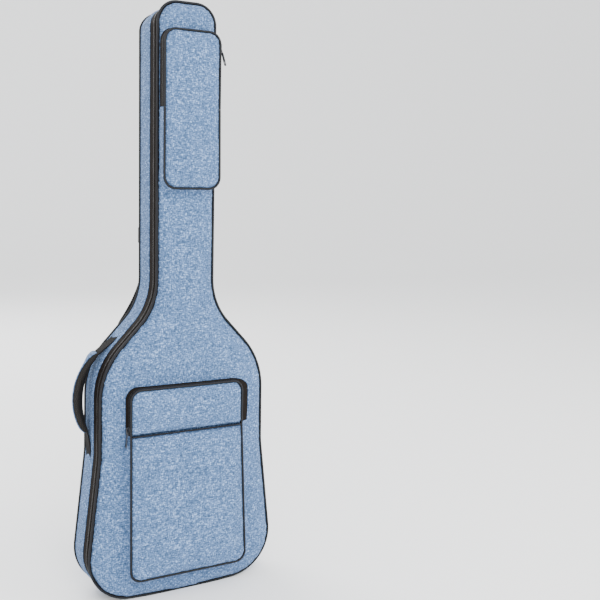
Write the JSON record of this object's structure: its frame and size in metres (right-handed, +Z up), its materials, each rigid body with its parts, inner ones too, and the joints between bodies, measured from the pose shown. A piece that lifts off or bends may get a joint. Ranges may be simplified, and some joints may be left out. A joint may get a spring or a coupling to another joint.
{
  "type": "padded gig bag",
  "caption": "Padded cloth gig bag shaped like an electric guitar, with a zipped lid, two zipped pockets, backpack straps, a side handle and a hang loop.",
  "frame": {"origin": "top inner bearing point of the hang loop on the bag's back", "axes": "+X right as seen from the front, +Y towards the back, +Z up towards the headstock end"},
  "size_m": [0.358, 0.208, 1.0437],
  "materials": {
    "blue_cloth": "matte heather weave",
    "foam": "matte",
    "lining": "matte",
    "piping": "satin",
    "zip_tape": "matte",
    "zip_coil": "satin",
    "webbing": "matte ribbed",
    "mesh": "matte open mesh",
    "plastic": "satin",
    "metal": "gunmetal"
  },
  "bodies": {
    "shell": {"back_cloth": "blue_cloth", "back_foam": "foam", "back_lining": "lining", "zip_gusset_cloth": "blue_cloth", "zip_gusset_foam": "foam", "top_gusset_foam": "foam", "zip_gusset_lining": "lining", "hinge_gusset_cloth": "blue_cloth", "hinge_gusset_foam": "foam", "hinge_gusset_lining": "lining", "back_piping": "piping", "rear_zip_tape": "zip_tape", "rear_zip_coil": "zip_coil", "zip_end_tabs": "webbing", "yoke": "webbing", "wing_patches": "blue_cloth", "wing_webs": "webbing", "strap_roots": "blue_cloth", "handle_tabs": "webbing"},
    "hang_loop": {"hang_loop": "webbing"},
    "handle": {"handle_grip": "mesh", "handle_face": "blue_cloth"},
    "lid": {"front_cloth": "blue_cloth", "front_foam": "foam", "front_lining": "lining", "front_piping": "piping", "front_zip_tape": "zip_tape", "front_zip_coil": "zip_coil", "upper_pocket_wall": "blue_cloth", "upper_pocket_face": "blue_cloth", "upper_pocket_piping": "piping", "upper_pocket_tape": "zip_tape", "lower_pocket_wall": "blue_cloth", "lower_pocket_face": "blue_cloth", "lower_pocket_piping": "piping", "lower_crossbar": "piping", "lower_pocket_tape": "zip_tape"},
    "upper_flap": {"upper_flap_face": "blue_cloth", "upper_flap_piping": "piping", "upper_flap_tape": "zip_tape"},
    "lower_flap": {"lower_flap_face": "blue_cloth", "lower_flap_piping": "piping", "lower_flap_tape": "zip_tape"},
    "main_slider": {"main_slider": "metal"},
    "main_pull": {"main_pull": "metal"},
    "upper_slider": {"upper_slider": "metal"},
    "upper_pull": {"upper_pull": "metal"},
    "lower_slider": {"lower_slider": "metal"},
    "lower_pull": {"lower_pull": "metal"},
    "left_strap": {"left_strap_pad": "blue_cloth", "left_strap_tab": "webbing", "left_lock": "plastic", "left_lower_web": "webbing"},
    "left_tail": {"left_tail": "webbing"},
    "right_strap": {"right_strap_pad": "blue_cloth", "right_strap_tab": "webbing", "right_lock": "plastic", "right_lower_web": "webbing"},
    "right_tail": {"right_tail": "webbing"}
  },
  "joints": [
    {"name": "lid_swing", "type": "hinge", "parent": "shell", "child": "lid", "pos_m": [0.17797, -0.101, -0.62688], "axis": [-0.0745, 0, 0.9972], "range_deg": [0, 110]},
    {"name": "upper_flap_fold", "type": "hinge", "parent": "lid", "child": "upper_flap", "pos_m": [0, -0.139, 0.1483], "axis": [1, 0, 0], "range_deg": [0, 110]},
    {"name": "lower_flap_fold", "type": "hinge", "parent": "lid", "child": "lower_flap", "pos_m": [0, -0.142, -0.4098], "axis": [1, 0, 0], "range_deg": [0, 150]},
    {"name": "main_slider_travel", "type": "slide", "parent": "shell", "child": "main_slider", "axis": [0, 0, 1], "range_m": [0, 0.015]},
    {"name": "main_pull_swing", "type": "hinge", "parent": "main_slider", "child": "main_pull", "pos_m": [0.0558, -0.083, 0.267], "axis": [0, -1, 0], "range_deg": [0, 150]},
    {"name": "upper_slider_travel", "type": "slide", "parent": "lid", "child": "upper_slider", "axis": [0, 0, -1], "range_m": [0, 0.095]},
    {"name": "upper_pull_swing", "type": "hinge", "parent": "upper_slider", "child": "upper_pull", "pos_m": [0.0539, -0.12215, 0.253], "axis": [0, -1, 0], "range_deg": [0, 150]},
    {"name": "lower_slider_travel", "type": "slide", "parent": "lid", "child": "lower_slider", "axis": [0, 0, 1], "range_m": [0, 0.045]},
    {"name": "lower_pull_swing", "type": "hinge", "parent": "lower_slider", "child": "lower_pull", "pos_m": [-0.1144, -0.12215, -0.402], "axis": [0, 1, 0], "range_deg": [0, 150]},
    {"name": "hang_loop_fold", "type": "hinge", "parent": "shell", "child": "hang_loop", "pos_m": [0, -0.0082, -0.057], "axis": [-1, 0, 0], "range_deg": [0, 80]},
    {"name": "handle_rock", "type": "hinge", "parent": "shell", "child": "handle", "pos_m": [-0.156, -0.044, -0.454], "axis": [0.2545, 0, 0.9671], "range_deg": [-8, 8]},
    {"name": "left_strap_swing", "type": "hinge", "parent": "shell", "child": "left_strap", "pos_m": [-0.02518, 0.00055, -0.17], "axis": [0.287, 0.0035, 0.9579], "range_deg": [-6, 15]},
    {"name": "right_strap_swing", "type": "hinge", "parent": "shell", "child": "right_strap", "pos_m": [0.02518, 0.00055, -0.17], "axis": [0.287, -0.0035, -0.9579], "range_deg": [-6, 15]},
    {"name": "left_tail_swing", "type": "hinge", "parent": "left_strap", "child": "left_tail", "pos_m": [-0.067, 0.054, -0.312], "axis": [1, 0, 0], "range_deg": [-8, 60]},
    {"name": "right_tail_swing", "type": "hinge", "parent": "right_strap", "child": "right_tail", "pos_m": [0.067, 0.054, -0.312], "axis": [1, 0, 0], "range_deg": [-8, 60]}
  ]
}
